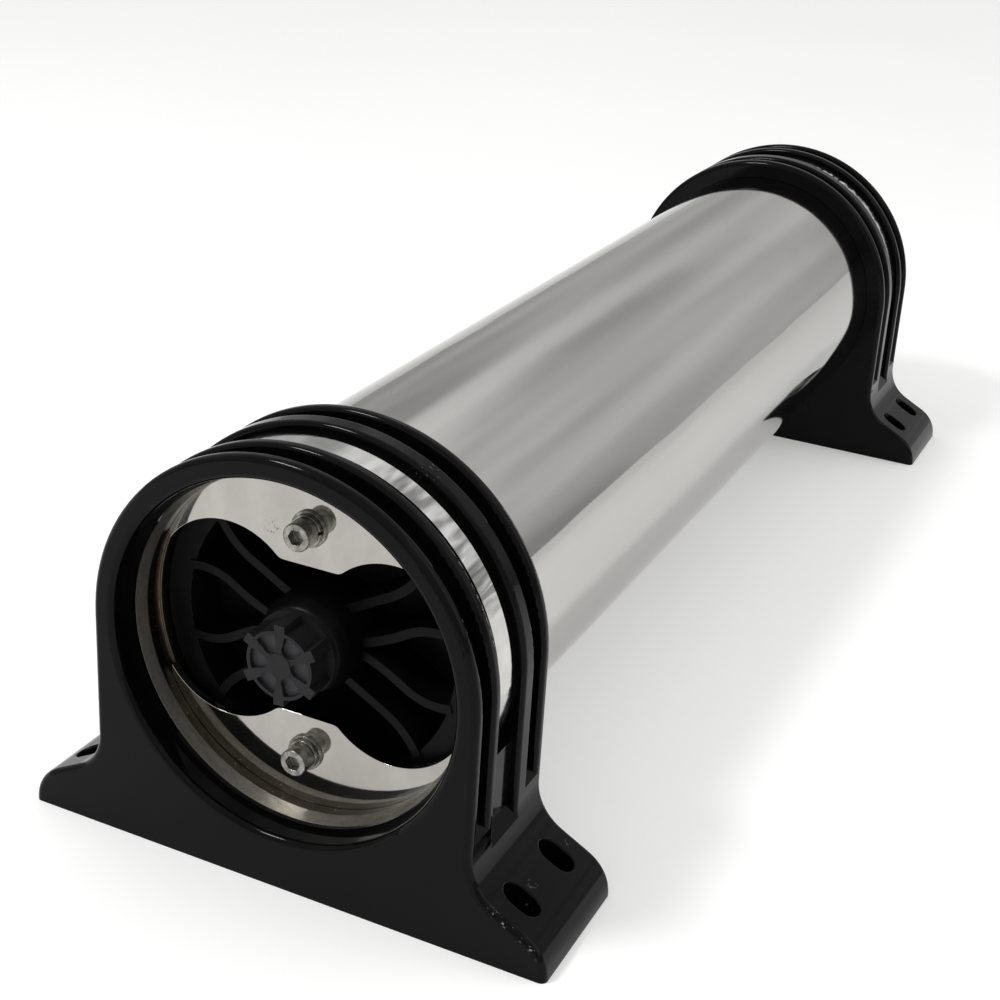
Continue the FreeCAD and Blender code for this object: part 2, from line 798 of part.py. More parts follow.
def screw_part(end, place, name, corners, angle=None):
    """A turned part on the screw's own axis: its frame is moved up from the shell's axis."""
    body = end_body(end, place + "_" + name, place == "lower")
    lift = screw_height if place == "upper" else -screw_height
    height = s.axis_height + lift
    body.setExpression(".Placement.Base.z", height.formula)
    turned_solid(body, "turned", corners, angle)
    return body


# Retaining screw: round head with a hexagon socket, over a spring washer and a flat washer.
def build_screw(end, place):
    washer_front = s.plate_depth - s.flat_washer_thickness
    spring_front = washer_front - s.spring_washer_thickness
    head_front = spring_front - s.screw_head_height
    tip = spring_front + s.screw_length
    edge = s.head_chamfer
    screw = screw_part(end, place, "screw", [
        (ZERO, head_front), (s.screw_head_radius - edge, head_front), (s.screw_head_radius, head_front + edge),
        (s.screw_head_radius, spring_front), (s.screw_radius, spring_front), (s.screw_radius, tip - edge),
        (s.screw_radius - edge, tip), (ZERO, tip)])
    socket = Outline(screw, "socket_sketch", "XZ_Plane", lift=-head_front)
    corner = s.socket_half_width / cosine(Size(30, "30"))
    corners = []
    for step in range(6):
        angle = Size(60 * step, repr(60 * step))
        corners.append((corner * cosine(angle), corner * sine(angle)))
    socket.loop([(x, ZERO if step % 3 == 0 else z) for step, (x, z) in enumerate(corners)])
    sunk(screw, "socket", socket, s.socket_depth)
    screw_part(end, place, "spring_washer", [
        (s.washer_bore_radius, spring_front), (s.spring_washer_radius, spring_front),
        (s.spring_washer_radius, washer_front), (s.washer_bore_radius, washer_front)], s.spring_washer_angle)
    screw_part(end, place, "flat_washer", [
        (s.washer_bore_radius, washer_front), (s.flat_washer_radius, washer_front),
        (s.flat_washer_radius, s.plate_depth), (s.washer_bore_radius, s.plate_depth)])


# Port plug: a fluted drum with six vanes on a flange, screwed into the cap's port over a seal ring.
def build_plug(end):
    body = end_body(end, "port_plug")
    flange_back = s.hub_front_depth
    flange_front = flange_back - s.plug_flange_thickness
    shank = s.port_radius - s.plug_shank_clearance
    neck_end = flange_back + s.plug_seal_section
    neck = shank - s.plug_neck_depth
    tip = flange_back + s.plug_shank_length
    disc_front = s.plug_face_depth - s.plug_disc_rise
    turned_solid(body, "drum", [
        (ZERO, disc_front), (s.plug_disc_radius, disc_front), (s.plug_disc_radius, s.plug_face_depth),
        (s.plug_drum_radius, s.plug_face_depth), (s.plug_drum_radius, flange_front),
        (s.plug_flange_radius, flange_front), (s.plug_flange_radius, flange_back),
        (neck, flange_back), (neck, neck_end), (shank, neck_end), (shank, tip), (ZERO, tip)])
    half_turn = s.plug_pocket_angle / 2
    lower_angle = -half_turn
    pocket = Outline(body, "pocket_sketch", "XZ_Plane", lift=-s.plug_face_depth)
    inner = s.plug_pocket_inner
    outer = s.plug_pocket_outer
    pocket.loop([
        (inner * cosine(lower_angle), inner * sine(lower_angle)),
        (outer * cosine(lower_angle), outer * sine(lower_angle), (ZERO, ZERO), outer, 1),
        (outer * cosine(half_turn), outer * sine(half_turn)),
        (inner * cosine(half_turn), inner * sine(half_turn),
         (inner * cosine(half_turn), ZERO), inner * sine(half_turn), 1)])
    hollow = sunk(body, "pocket", pocket, s.plug_pocket_depth)
    repeated(body, "pockets", [hollow], 6)
    vane = Outline(body, "vane_sketch", "XZ_Plane", lift=-s.plug_face_depth)
    half_width = s.plug_vane_width / 2
    vane.loop([
        (-half_width, s.plug_vane_root), (half_width, s.plug_vane_root),
        (half_width, s.plug_vane_radius), (-half_width, s.plug_vane_radius)])
    fin = raised(body, "vane", vane, flange_front - s.plug_face_depth + s.plug_flange_thickness / 2)
    repeated(body, "vanes", [fin], 6)
    return body


def ring_seal(label, along, ring_radius, section, turned):
    """A round seal ring about the shell's axis, at a depth in one end's frame."""
    ring = doc.addObject("Part::Torus", label)
    ring.Label = label
    ring.Placement = Placement(Vector(0, 0, 0), Rotation(Vector(1, 0, 0), 90))
    place = half_length - along if turned else along - half_length
    radius = section / 2
    for name, size in ((".Placement.Base.y", place), (".Placement.Base.z", s.axis_height),
                       ("Radius1", ring_radius), ("Radius2", radius)):
        ring.setExpression(name, size.formula)
    return ring


def build_seals(end):
    rear = end == "rear"
    cap_ring = shell_inner_radius - s.seal_clearance - s.seal_section / 2
    ring_seal(end + "_cap_outer_seal", s.first_seal_depth, cap_ring, s.seal_section, rear)
    ring_seal(end + "_cap_inner_seal", s.first_seal_depth + s.seal_spacing, cap_ring, s.seal_section, rear)
    neck = s.port_radius - s.plug_shank_clearance - s.plug_neck_depth
    section = s.plug_seal_section - s.seal_clearance * 2
    plug_ring = neck + s.seal_clearance + section / 2
    ring_seal(end + "_plug_seal", s.hub_front_depth + s.plug_seal_section / 2, plug_ring, section, rear)
    adapter_ring = s.core_inner_radius - s.seal_clearance - s.adapter_seal_section / 2
    first = s.cap_back_depth - s.adapter_reach / 2
    second = core_start + s.adapter_reach / 2
    ring_seal(end + "_adapter_cap_seal", first, adapter_ring, s.adapter_seal_section, rear)
    ring_seal(end + "_adapter_core_seal", second, adapter_ring, s.adapter_seal_section, rear)


# Adapter: a short tube with a collar that joins the cap's socket to the element's core tube.
def build_adapter(end):
    body = end_body(end, "adapter")
    start = s.cap_back_depth - s.adapter_reach
    finish = core_start + s.adapter_reach
    floor = s.core_inner_radius - s.adapter_seal_section - s.seal_clearance * 2
    half = s.adapter_seal_section / 2 + s.seal_clearance * 4
    corners = [(s.adapter_bore_radius, start), (adapter_radius, start)]
    for middle in (s.cap_back_depth - s.adapter_reach / 2, core_start + s.adapter_reach / 2):
        if len(corners) > 2:
            collar = (s.cap_back_depth + core_start) / 2
            reach = s.adapter_collar_length / 2
            corners += [
                (adapter_radius, collar - reach), (s.adapter_collar_radius, collar - reach),
                (s.adapter_collar_radius, collar + reach), (adapter_radius, collar + reach)]
        corners += [
            (adapter_radius, middle - half), (floor, middle - half),
            (floor, middle + half), (adapter_radius, middle + half)]
    corners += [(adapter_radius, finish), (s.adapter_bore_radius, finish)]
    turned_solid(body, "turned", corners)
    return body


# Filter element: a rolled pack in a smooth wrap on a core tube, between two end discs.
def build_element():
    pack = new_body("element_pack", ZERO)
    half_pack = half_length - element_start
    core_bore = s.core_outer_radius + s.adapter_clearance
    turned_solid(pack, "roll", [
        (core_bore, -half_pack), (shell_inner_radius - s.element_inset, -half_pack),
        (shell_inner_radius - s.element_inset, half_pack), (core_bore, half_pack)])
    core = new_body("element_core_tube", ZERO)
    half_core = half_length - core_start
    turned_solid(core, "tube", [
        (s.core_inner_radius, -half_core), (s.core_outer_radius, -half_core),
        (s.core_outer_radius, half_core), (s.core_inner_radius, half_core)])
    for end in ("front", "rear"):
        build_end_disc(end, core_bore)
    build_lip_seal()
    thrust = end_body("rear", "thrust_ring")
    ring_outer = shell_inner_radius - s.thrust_ring_inset
    ring_inner = ring_outer - s.thrust_ring_width
    turned_solid(thrust, "ring", [
        (ring_inner, s.cap_back_depth), (ring_outer, s.cap_back_depth),
        (ring_outer, s.cap_back_depth + s.element_gap), (ring_inner, s.cap_back_depth + s.element_gap)])


def build_end_disc(end, core_bore):
    body = end_body(end, "end_disc")
    start = s.cap_back_depth + s.element_gap
    finish = start + s.disc_thickness
    radius = shell_inner_radius - s.disc_clearance
    floor = shell_inner_radius - s.lip_seal_height
    middle = start + s.disc_thickness / 2
    half = s.lip_seal_width / 2
    turned_solid(body, "disc", [
        (core_bore, start), (radius, start), (radius, middle - half), (floor, middle - half),
        (floor, middle + half), (radius, middle + half), (radius, finish), (core_bore, finish)])
    hole = Outline(body, "hole_sketch", "XZ_Plane", lift=-start)
    hole.circle((ZERO, shell_inner_radius - s.disc_hole_inset), s.disc_hole_radius)
    passage = sunk(body, "hole", hole, s.disc_thickness)
    repeated(body, "holes", [passage], 10)
    return body


def build_lip_seal():
    """A channel seal in the front disc's groove, its outer lip close to the shell."""
    body = end_body("front", "lip_seal")
    start = s.cap_back_depth + s.element_gap
    middle = start + s.disc_thickness / 2
    half = s.lip_seal_width / 2 - s.seal_clearance
    inner = shell_inner_radius - s.lip_seal_height + s.seal_clearance
    outer = shell_inner_radius - s.seal_clearance
    wall = s.lip_seal_wall
    turned_solid(body, "channel", [
        (inner, middle - half), (inner + wall, middle - half), (inner + wall, middle + half - wall),
        (outer - wall, middle + half - wall), (outer - wall, middle - half), (outer, middle - half),
        (outer, middle + half), (inner, middle + half)])
    return body


def build_all():
    build_shell()
    for end in ("front", "rear"):
        build_stand(end)
        build_strap(end)
        build_cap(end)
        build_seals(end)
        build_adapter(end)
        build_plug(end)
        for place in ("upper", "lower"):
            build_plate(end, place)
            build_screw(end, place)
    build_element()


def check_objects():
    for item in doc.Objects:
        if "Invalid" in item.State or "Error" in item.State:
            raise RuntimeError("%s: %s" % (item.Label, item.State))


def write_parts():
    os.makedirs("parts", exist_ok=True)
    pieces = [item for item in doc.Objects if item.TypeId in ("PartDesign::Body", "Part::Torus")]
    for piece in pieces:
        shape = piece.Shape
        if shape.isNull() or not shape.isValid() or len(shape.Solids) != 1:
            raise RuntimeError(piece.Label + " isn't one sound solid")
    for piece in pieces:
        piece.Shape.exportStep("parts/%s.step" % piece.Label)
    print("%d parts written" % len(pieces))


build_all()
doc.recompute()
check_objects()
write_parts()
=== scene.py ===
import json
import math

import bmesh
import bpy
from mathutils import Matrix, Vector


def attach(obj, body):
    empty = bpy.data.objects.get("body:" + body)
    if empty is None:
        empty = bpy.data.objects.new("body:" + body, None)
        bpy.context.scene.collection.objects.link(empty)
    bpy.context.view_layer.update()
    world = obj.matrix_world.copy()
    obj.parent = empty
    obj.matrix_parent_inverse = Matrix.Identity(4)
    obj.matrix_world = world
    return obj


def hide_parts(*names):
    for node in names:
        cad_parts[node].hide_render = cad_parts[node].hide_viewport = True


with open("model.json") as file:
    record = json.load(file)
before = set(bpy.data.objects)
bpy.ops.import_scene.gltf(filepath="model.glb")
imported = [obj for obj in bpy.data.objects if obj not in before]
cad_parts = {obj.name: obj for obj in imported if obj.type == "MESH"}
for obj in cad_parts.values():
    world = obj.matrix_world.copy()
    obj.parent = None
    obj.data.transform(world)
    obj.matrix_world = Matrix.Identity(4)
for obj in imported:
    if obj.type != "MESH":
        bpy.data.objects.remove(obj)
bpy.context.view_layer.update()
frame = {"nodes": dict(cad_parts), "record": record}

scene = bpy.context.scene
nodes = frame["nodes"]

MM = 0.001

# The shell: the height of its axis, its radius and wall, and how far its mouths are from the middle
AXIS = 138.0 * MM
SHELL_RADIUS = 104.0 * MM
SHELL_WALL = 3.0 * MM
SHELL_MOUTH = 436.0 * MM

# The shell's turned ends. The bevel's length and the groove's edges are measured from the mouth, and the
# bevel's rise and the groove's depth from the bore.
BEVEL_LENGTH = 8.0 * MM
BEVEL_RISE = 2.2 * MM
GROOVE_FRONT = 14.8 * MM
GROOVE_BACK = 21.0 * MM
GROOVE_DEPTH = 1.6 * MM
CORNER_ROUNDING = 0.35 * MM

# How finely the shell is divided: around it, on each rounded corner, and along its outer face
SHELL_SEGMENTS = 240
CORNER_STEPS = 3
OUTER_STEPS = 24

# The shell's finishes, by their numbers on its faces
POLISHED = 0
BEVEL = 1
BORE = 2

# Pieces with rounded edges, by the endings of their names: the width of the rounding and its segments
EDGES = {
    "end_cap": (1.0 * MM, 3),
    "plate": (0.35 * MM, 2),
    "screw": (0.35 * MM, 2),
    "flat_washer": (0.3 * MM, 2),
    "spring_washer": (0.3 * MM, 2),
    "port_plug": (0.5 * MM, 2),
}
WELD_REACH = 2e-6
FLAT_ANGLE = math.radians(0.1)
EDGE_ANGLE = math.radians(28.0)

# Where wear is seen: the place, the distances from it where it ends and where it is full, and, for the
# scuffs of the stand, its strength
PLATE_MARKS = ((-0.0235, -0.421, 0.2015), 0.0065, 0.003)
FOOT_EDGE = ((0.146, -0.452, 0.026), 0.020, 0.012)
STAND_SCUFFS = {
    "beside the nearer slot": ((0.1415, -0.4175, 0.030), 0.0055, 0.003, 0.6),
    "beside the farther slot": ((0.1430, -0.3720, 0.029), 0.0055, 0.003, 0.45),
    "inside the nearer slot": ((0.1405, -0.4247, 0.0185), 0.0045, 0.003, 1.0),
    "dust on the inner flange": ((0.0545, -0.3920, 0.244), 0.013, 0.003, 0.4),
}

# The camera, fitted to the photograph
CAMERA_PLACE = (0.4271, -1.1303, 0.5981)
CAMERA_AZIMUTH = math.radians(25.06)
CAMERA_ELEVATION = math.radians(22.34)
CAMERA_ROLL = math.radians(3.26)
CAMERA_SENSOR = 36
CAMERA_LENS = 62.19
CAMERA_SHIFT = (0.021, -0.0552)


# Node graphs

class Graph:
    """The nodes of a material or of the world, built by short calls."""

    def __init__(self, tree):
        self.tree = tree

    def add(self, kind, **settings):
        node = self.tree.nodes.new(kind)
        for key, value in settings.items():
            setattr(node, key, value)
        return node

    def put(self, socket, value):
        """Join another node's output to a socket, or set the socket's own value."""
        if isinstance(value, bpy.types.NodeSocket):
            self.tree.links.new(value, socket)
        else:
            socket.default_value = value

    def make(self, kind, values, output=0, **settings):
        """Add a node, fill its sockets by name or number, and give one of its outputs."""
        node = self.add(kind, **settings)
        for key, value in values.items():
            self.put(node.inputs[key], value)
        return node.outputs[output]

    def math(self, operation, first, second=0.0, clamp=False):
        return self.make("ShaderNodeMath", {0: first, 1: second}, operation=operation, use_clamp=clamp)

    def product(self, first, second):
        return self.math("MULTIPLY", first, second)

    def vector(self, x, y, z):
        return self.make("ShaderNodeCombineXYZ", {0: x, 1: y, 2: z})

    def noise(self, vector, scale, detail, rough):
        values = {"Vector": vector, "Scale": scale, "Detail": detail, "Roughness": rough}
        return self.make("ShaderNodeTexNoise", values, "Fac")

    def span(self, value, low, high, to_low=0.0, to_high=1.0, curve="LINEAR"):
        """Carry a value from one range to another, held at the range's ends."""
        values = {"Value": value, "From Min": low, "From Max": high, "To Min": to_low, "To Max": to_high}
        return self.make("ShaderNodeMapRange", values, interpolation_type=curve)

    def blend(self, factor, first, second):
        """Mix two colours: a mix node's colour sockets come after those for numbers and vectors."""
        return self.make("ShaderNodeMix", {0: factor, 6: first, 7: second}, 2, data_type="RGBA")

    def shade(self, colour, factor):
        """A colour times a number."""
        return self.make("ShaderNodeVectorMath", {0: colour, "Scale": factor}, operation="SCALE")


class Finish(Graph):
    """A material whose look varies over the part."""

    def __init__(self, name):
        self.material = bpy.data.materials.new(name)
        self.material.use_nodes = True
        super().__init__(self.material.node_tree)
        self.tree.nodes.clear()
        self.shader = self.add("ShaderNodeBsdfPrincipled")
        output = self.add("ShaderNodeOutputMaterial")
        self.put(output.inputs["Surface"], self.shader.outputs[0])
        self.place = self.add("ShaderNodeTexCoord").outputs["Object"]

    def set(self, **values):
        """Set the shader's sockets, by their names with spaces as underscores."""
        for key, value in values.items():
            self.put(self.shader.inputs[key.replace("_", " ")], value)

    def bump(self, height, strength, distance):
        values = {"Strength": strength, "Distance": distance, "Height": height}
        self.set(Normal=self.make("ShaderNodeBump", values))

    def coordinates(self):
        """The place on the part, with its height taken from the shell's axis."""
        split = self.add("ShaderNodeSeparateXYZ")
        self.put(split.inputs[0], self.place)
        return split.outputs["X"], split.outputs["Y"], self.math("SUBTRACT", split.outputs["Z"], AXIS)

    def turn(self):
        """The angle about the shell's axis."""
        x, _, z = self.coordinates()
        return self.math("ARCTAN2", z, x)

    def radius(self):
        """The distance from the shell's axis."""
        x, _, z = self.coordinates()
        return self.math("SQRT", self.math("ADD", self.product(x, x), self.product(z, z)))

    def along(self):
        """The distance along the shell from its middle, negative at the photographed end."""
        return self.coordinates()[1]

    def outward(self):
        """The distance along the shell from its middle, alike for both ends."""
        return self.math("ABSOLUTE", self.along())

    def grain(self, scale, detail, rough):
        """Noise over the part, finer with a larger scale, which is one number or one for each axis."""
        scales = scale if isinstance(scale, tuple) else (scale, scale, scale)
        stretched = self.make("ShaderNodeMapping", {"Vector": self.place, "Scale": scales})
        return self.noise(stretched, 1.0, detail, rough)

    def near(self, place, far, close):
        """One at a place of the part, falling to nothing between two distances from it."""
        values = {0: self.place, 1: place}
        distance = self.make("ShaderNodeVectorMath", values, "Value", operation="DISTANCE")
        return self.span(distance, far, close)


def tone(r, g, b):
    return (r, g, b, 1.0)


def polished_steel():
    """Mirror polished tube with broad faint smears and an almost unseen waviness."""
    g = Finish("polished_steel")
    smears = g.grain((8.0, 2.5, 8.0), 3.0, 0.5)
    waves = g.noise(g.vector(g.product(g.turn(), 2.5), 0.0, g.product(g.along(), 9.0)), 1.0, 1.0, 0.4)
    colour = g.blend(g.span(smears, 0.3, 0.7), tone(0.53, 0.522, 0.505), tone(0.57, 0.563, 0.548))
    g.set(Base_Color=colour, Metallic=1.0, Roughness=g.span(smears, 0.3, 0.7, 0.045, 0.09))
    g.set(Specular_Tint=tone(0.76, 0.76, 0.76))
    g.bump(waves, 0.25, 0.002)
    return g.material


def strap_steel():
    """Thin polished strap, drawn tight over the stand: uneven in its relief, with painted reflections of
    broken bars in its colour.
    """
    g = Finish("strap_steel")
    turn = g.turn()
    bars = g.noise(g.vector(g.product(turn, 18.0), 0.0, g.product(g.along(), 30.0)), 1.0, 1.0, 0.4)
    smears = g.grain(70.0, 3.0, 0.6)
    # the painted reflection bars in the colour, and the relief, are strongest on the shoulder to the right
    # of the top
    shoulder = g.span(g.math("ABSOLUTE", g.math("SUBTRACT", turn, 0.87)), 0.52, 0.26, 0.08, 1.0)
    smeared = g.blend(g.span(smears, 0.3, 0.7), tone(0.50, 0.495, 0.48), tone(0.62, 0.615, 0.60))
    # painted reflection: bars of dark and bright tone put into the colour
    painted_reflection_bars = g.blend(g.span(bars, 0.42, 0.60), tone(0.24, 0.238, 0.23), tone(0.80, 0.795, 0.78))
    colour = g.blend(g.product(shoulder, 0.75), smeared, painted_reflection_bars)
    g.set(Base_Color=colour, Metallic=1.0, Roughness=g.span(smears, 0.3, 0.7, 0.07, 0.13))
    g.bump(g.product(bars, shoulder), 0.6, 0.002)
    return g.material


def mirror_steel():
    """Mirror polished plate with hazy wipe marks, and dark marks beside the near end's upper screw."""
    g = Finish("mirror_steel")
    haze = g.grain((30.0, 30.0, 18.0), 4.0, 0.6)
    marks = g.grain((900.0, 900.0, 350.0), 3.0, 0.7)
    clean = g.blend(g.span(haze, 0.32, 0.68), tone(0.445, 0.432, 0.396), tone(0.345, 0.334, 0.304))
    smudge = g.product(g.span(marks, 0.57, 0.64), g.near(*PLATE_MARKS))
    colour = g.blend(smudge, clean, tone(0.05, 0.045, 0.04))
    g.set(Base_Color=colour, Metallic=1.0, Roughness=g.span(haze, 0.35, 0.8, 0.035, 0.09))
    g.bump(g.grain(900.0, 2.0, 0.5), 0.02, 0.0001)
    return g.material


def turned_steel(name, dark, light, dull, bright, left=1.0):
    """Machined ring inside the mouth of the shell: lathe lines with stains, pits and bright specks.

    It has two tones, its roughness where dull and where bright, and the share of its tone that is left
    between the bevel and the groove."""
    g = Finish(name)
    groove = SHELL_MOUTH - GROOVE_FRONT
    across = g.vector(0.0, g.product(g.radius(), 900.0), g.product(g.along(), 900.0))
    lines = g.noise(across, 1.0, 2.0, 0.5)
    stains = g.grain((55.0, 140.0, 55.0), 5.0, 0.65)
    specks = g.grain(700.0, 2.0, 0.6)
    colour = g.blend(g.span(stains, 0.35, 0.65), dark, light)
    colour = g.shade(colour, g.span(g.outward(), groove - 1.2 * MM, groove + 0.1 * MM, 1.0, left))
    colour = g.blend(g.span(specks, 0.69, 0.74), colour, tone(0.58, 0.56, 0.52))
    colour = g.blend(g.span(specks, 0.33, 0.29), colour, tone(0.06, 0.052, 0.042))
    g.set(Base_Color=colour, Metallic=1.0, Roughness=g.span(stains, 0.3, 0.7, dull, bright))
    g.bump(lines, 0.12, 0.0002)
    return g.material


def screw_steel():
    """Satin stainless fastener with dull, slightly oily patches."""
    g = Finish("screw_steel")
    patches = g.grain(220.0, 4.0, 0.6)
    colour = g.blend(g.span(patches, 0.35, 0.65), tone(0.15, 0.14, 0.12), tone(0.36, 0.35, 0.325))
    g.set(Base_Color=colour, Metallic=1.0, Roughness=g.span(patches, 0.3, 0.7, 0.36, 0.22))
    g.bump(g.grain(2600.0, 2.0, 0.5), 0.12, 0.0002)
    return g.material


def gloss_black():
    """Glossy black moulding: slight orange peel, with pale scuffs where the near foot is rubbed."""
    g = Finish("gloss_black")
    cloud = g.grain(24.0, 4.0, 0.55)
    scratches = g.grain(420.0, 3.0, 0.65)
    along = g.along()
    # along the rounded front edge of the near foot, but not on the face below it
    edge = g.product(g.span(along, -0.4502, -0.4512), g.span(along, -0.4540, -0.4536))
    where = g.product(edge, g.near(*FOOT_EDGE))
    for place, far, close, share in STAND_SCUFFS.values():
        where = g.math("MAXIMUM", where, g.product(g.near(place, far, close), share))
    mask = g.product(g.span(scratches, 0.60, 0.66), where)
    black = g.blend(g.span(cloud, 0.3, 0.7), tone(0.0017, 0.0017, 0.0021), tone(0.0028, 0.0028, 0.0033))
    colour = g.blend(g.product(mask, 0.8), black, tone(0.26, 0.26, 0.255))
    g.set(Base_Color=colour, Roughness=g.span(cloud, 0.3, 0.7, 0.055, 0.10), Specular_IOR_Level=0.10)
    g.bump(g.grain(150.0, 2.0, 0.5), 0.05, 0.0004)
    return g.material


def cap_black():
    """Satin black moulding of the end caps with a fine moulded grain."""
    g = Finish("cap_black")
    cloud = g.grain(40.0, 3.0, 0.5)
    colour = g.blend(g.span(cloud, 0.3, 0.7), tone(0.0024, 0.0024, 0.0028), tone(0.0040, 0.0040, 0.0045))
    g.set(Base_Color=colour, Roughness=g.span(cloud, 0.3, 0.7, 0.34, 0.48), Specular_IOR_Level=0.10)
    g.bump(g.grain(1400.0, 3.0, 0.6), 0.10, 0.0002)
    return g.material


def plug_grey():
    """Dark grey plug with a matt moulded skin, and painted light on the floors of its pockets, which makes
    them paler than the skin.
    """
    g = Finish("plug_grey")
    grain = g.grain(1800.0, 3.0, 0.6)
    cloud = g.grain(90.0, 3.0, 0.5)
    skin = g.blend(g.span(cloud, 0.3, 0.7), tone(0.0100, 0.0100, 0.0112), tone(0.0148, 0.0148, 0.0162))
    # painted light: the pocket floors, where shade falls, get a paler tone to make up for that shade
    floor = g.product(g.span(g.outward(), 0.4483, 0.4476), g.span(g.radius(), 0.0184, 0.0180))
    colour = g.blend(floor, skin, tone(0.052, 0.052, 0.056))
    g.set(Base_Color=colour, Roughness=g.span(grain, 0.3, 0.7, 0.46, 0.58), Specular_IOR_Level=0.2)
    g.bump(grain, 0.15, 0.0003)
    return g.material


def plain_skin(name, scale, dark, light, rough_low, rough_high, relief):
    """Plain skin of the hidden pieces: one fine grain in its tone, its roughness and its relief."""
    g = Finish(name)
    grain = g.grain(scale, 3.0, 0.6)
    colour = g.blend(g.span(grain, 0.3, 0.7), dark, light)
    g.set(Base_Color=colour, Roughness=g.span(grain, 0.3, 0.7, rough_low, rough_high))
    g.bump(grain, relief, 0.0002)
    return g.material


def element_wrap():
    """Rolled wrap of the element: a woven tape look in fine rings."""
    g = Finish("element_wrap")
    rings = g.noise(g.vector(g.product(g.turn(), 8.0), 0.0, g.product(g.along(), 500.0)), 1.0, 3.0, 0.6)
    colour = g.blend(g.span(rings, 0.3, 0.7), tone(0.66, 0.66, 0.61), tone(0.76, 0.76, 0.72))
    g.set(Base_Color=colour, Roughness=g.span(rings, 0.3, 0.7, 0.45, 0.6))
    g.bump(rings, 0.2, 0.0003)
    return g.material


FINISHES = {
    "polished_steel": polished_steel(),
    "mirror_steel": mirror_steel(),
    "screw_steel": screw_steel(),
    "gloss_black": gloss_black(),
    "cap_black": cap_black(),
    "plug_grey": plug_grey(),
    "seal_rubber": plain_skin("seal_rubber", 900.0, tone(0.008, 0.008, 0.008), tone(0.014, 0.014, 0.014),
                              0.55, 0.7, 0.1),
    "white_plastic": plain_skin("white_plastic", 500.0, tone(0.62, 0.62, 0.58), tone(0.70, 0.70, 0.66),
                                0.38, 0.5, 0.08),
    "element_wrap": element_wrap(),
}
bevel_steel = turned_steel("bevel_steel", tone(0.19, 0.175, 0.150), tone(0.30, 0.286, 0.256), 0.54, 0.42)
bore_steel = turned_steel("bore_steel", tone(0.13, 0.108, 0.078), tone(0.24, 0.216, 0.176), 0.36, 0.27,
                          left=0.4)
strap = strap_steel()


# The CAD's pieces

def dress(piece, finish):
    piece.data.materials.clear()
    piece.data.materials.append(finish)


def add_modifier(piece, kind, name, **settings):
    modifier = piece.modifiers.new(name, kind)
    for key, value in settings.items():
        setattr(modifier, key, value)


def soften(piece, width, segments):
    """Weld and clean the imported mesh, then round its sharp edges."""
    add_modifier(piece, "WELD", "weld", merge_threshold=WELD_REACH)
    add_modifier(piece, "DECIMATE", "flat faces", decimate_type="DISSOLVE", angle_limit=FLAT_ANGLE)
    add_modifier(piece, "BEVEL", "edges", width=width, segments=segments, limit_method="ANGLE",
                 angle_limit=EDGE_ANGLE, miter_outer="MITER_ARC", use_clamp_overlap=True,
                 harden_normals=False)
    add_modifier(piece, "WEIGHTED_NORMAL", "normals", keep_sharp=True)


slot_of = {row["node"]: row["material_slot"] for row in frame["record"]["subparts"]}

for name, node in nodes.items():
    dress(node, strap if name.endswith("_strap") else FINISHES[slot_of[name]])
    for polygon in node.data.polygons:
        polygon.use_smooth = True
    for ending, (width, segments) in EDGES.items():
        if name.endswith("_" + ending):
            soften(node, width, segments)


# The shell, as one smooth turned piece

def rounded(corners):
    """Points of a closed profile with each corner rounded. A corner's finish goes to all of its points."""
    made = []
    count = len(corners)
    for index, (radius, along, finish) in enumerate(corners):
        here = Vector((radius, along))
        before = Vector(corners[index - 1][:2]) - here
        after = Vector(corners[(index + 1) % count][:2]) - here
        reach = min(CORNER_ROUNDING, before.length * 0.45, after.length * 0.45)
        start = here + before.normalized() * reach
        end = here + after.normalized() * reach
        for step in range(CORNER_STEPS + 1):
            t = step / CORNER_STEPS
            point = start * (1 - t) ** 2 + here * 2 * t * (1 - t) + end * t ** 2
            made.append((point.x, point.y, finish))
    return made


def lathe(name, profile):
    """Turn a closed profile of (radius, place along, finish) about the shell's axis.

    The faces from one point to the next take the first one's finish."""
    mesh = bpy.data.meshes.new(name)
    made = bmesh.new()
    rings = []
    for radius, along, _ in profile:
        ring = []
        for step in range(SHELL_SEGMENTS):
            angle = 2 * math.pi * step / SHELL_SEGMENTS
            place = (radius * math.cos(angle), along, AXIS + radius * math.sin(angle))
            ring.append(made.verts.new(place))
        rings.append(ring)
    for index, ring in enumerate(rings):
        following = rings[(index + 1) % len(rings)]
        for step in range(SHELL_SEGMENTS):
            ahead = (step + 1) % SHELL_SEGMENTS
            face = made.faces.new((ring[step], ring[ahead], following[ahead], following[step]))
            face.smooth = True
            face.material_index = profile[index][2]
    bmesh.ops.recalc_face_normals(made, faces=made.faces)
    made.to_mesh(mesh)
    made.free()
    piece = bpy.data.objects.new(name, mesh)
    scene.collection.objects.link(piece)
    return piece


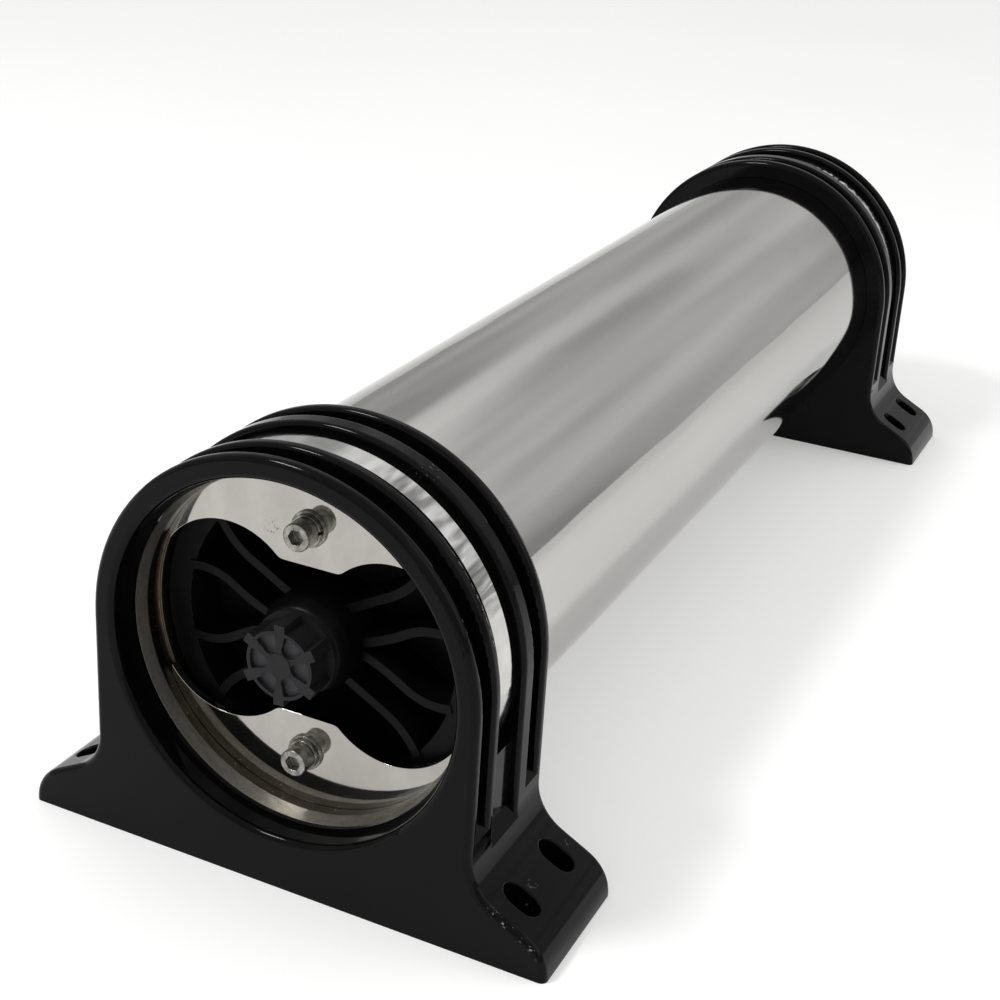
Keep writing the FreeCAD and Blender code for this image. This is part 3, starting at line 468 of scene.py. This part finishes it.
def build_shell():
    outer = SHELL_RADIUS
    inner = outer - SHELL_WALL
    lip = inner + BEVEL_RISE
    floor = inner + GROOVE_DEPTH
    mouth = SHELL_MOUTH
    bevel = mouth - BEVEL_LENGTH
    front = mouth - GROOVE_FRONT
    back = mouth - GROOVE_BACK
    rear_end = [(outer, mouth, BEVEL), (lip, mouth, BEVEL), (inner, bevel, BORE), (inner, front, BORE),
                (floor, front, BORE), (floor, back, BORE), (inner, back, BORE)]
    # the front end is the same, but its corners come in the other order
    finishes = (BORE, BORE, BORE, BORE, BEVEL, BEVEL, POLISHED)
    front_end = []
    for (radius, along, _), finish in zip(reversed(rear_end), finishes):
        front_end.append((radius, -along, finish))
    profile = rounded(rear_end + front_end)
    # the long outer run is divided so that its shading stays even
    first = profile[0][1]
    last = profile[-1][1]
    for step in range(1, OUTER_STEPS):
        profile.append((outer, last + (first - last) * step / OUTER_STEPS, POLISHED))
    shell = lathe("shell", profile)
    # in the order of their numbers
    for finish in (FINISHES["polished_steel"], bevel_steel, bore_steel):
        shell.data.materials.append(finish)
    add_modifier(shell, "WEIGHTED_NORMAL", "normals", keep_sharp=True)
    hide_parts("shell_tube")
    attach(shell, "housing")


build_shell()


# Floor, light and camera

def build_floor():
    """A pale floor that shows white, with the object's shadow on it."""
    bpy.ops.mesh.primitive_plane_add(size=40, location=(0, 0, 0))
    floor = bpy.context.active_object
    floor.name = "floor"
    g = Finish("floor")
    mottle = g.span(g.grain(1.5, 2.0, 0.5), 0.3, 0.7)
    colour = g.blend(mottle, tone(0.90, 0.90, 0.895), tone(0.92, 0.92, 0.915))
    path = g.add("ShaderNodeLightPath")
    seen = g.math("ADD", path.outputs["Is Camera Ray"], path.outputs["Is Glossy Ray"])
    seen = g.math("ADD", seen, path.outputs["Is Transmission Ray"], clamp=True)
    g.set(Base_Color=colour, Roughness=0.9, Emission_Color=colour, Emission_Strength=g.product(seen, 0.20),
          Specular_IOR_Level=0.1)
    dress(floor, g.material)


def build_world():
    """A plain room: dimmer along the horizon and brighter overhead, with a little unevenness."""
    world = bpy.data.worlds.new("studio")
    scene.world = world
    world.use_nodes = True
    g = Graph(world.node_tree)
    place = g.add("ShaderNodeTexCoord").outputs["Generated"]
    height = g.make("ShaderNodeSeparateXYZ", {0: place}, "Z")
    rise = g.span(height, -0.02, 0.75, 0.53, 0.78, "SMOOTHSTEP")
    uneven = g.span(g.noise(place, 4.2, 1.0, 0.5), 0.3, 0.7, 0.70, 1.30)
    light = world.node_tree.nodes["Background"]
    g.put(light.inputs["Color"], tone(1, 1, 1))
    g.put(light.inputs["Strength"], g.product(rise, uneven))


def soft_lamp(name, place, target, width, height, power):
    data = bpy.data.lights.new(name, "AREA")
    data.shape = "RECTANGLE"
    data.size = width
    data.size_y = height
    data.energy = power
    lamp = bpy.data.objects.new(name, data)
    scene.collection.objects.link(lamp)
    lamp.location = place
    lamp.rotation_euler = (Vector(target) - Vector(place)).to_track_quat("-Z", "Y").to_euler()


def build_camera():
    level = math.cos(CAMERA_ELEVATION)
    look = Vector((-math.sin(CAMERA_AZIMUTH) * level, math.cos(CAMERA_AZIMUTH) * level,
                   -math.sin(CAMERA_ELEVATION)))
    right = look.cross(Vector((0, 0, 1))).normalized()
    up = right.cross(look)
    local_x = right * math.cos(CAMERA_ROLL) + up * math.sin(CAMERA_ROLL)
    local_y = -right * math.sin(CAMERA_ROLL) + up * math.cos(CAMERA_ROLL)
    turn = Matrix((local_x, local_y, -look)).transposed().to_4x4()
    data = bpy.data.cameras.new("camera")
    data.sensor_width = CAMERA_SENSOR
    data.lens = CAMERA_LENS
    data.shift_x, data.shift_y = CAMERA_SHIFT
    data.clip_start = 0.01
    camera = bpy.data.objects.new("camera", data)
    scene.collection.objects.link(camera)
    camera.matrix_world = Matrix.Translation(CAMERA_PLACE) @ turn
    scene.camera = camera


build_floor()
build_world()
soft_lamp("key", (-1.1, -1.4, 2.3), (0, 0, 0.1), 0.6, 0.3, 28)
soft_lamp("fill", (2.2, 0.4, 1.5), (0, 0, 0.1), 1.8, 2.2, 10)
build_camera()

scene.view_settings.view_transform = "Standard"
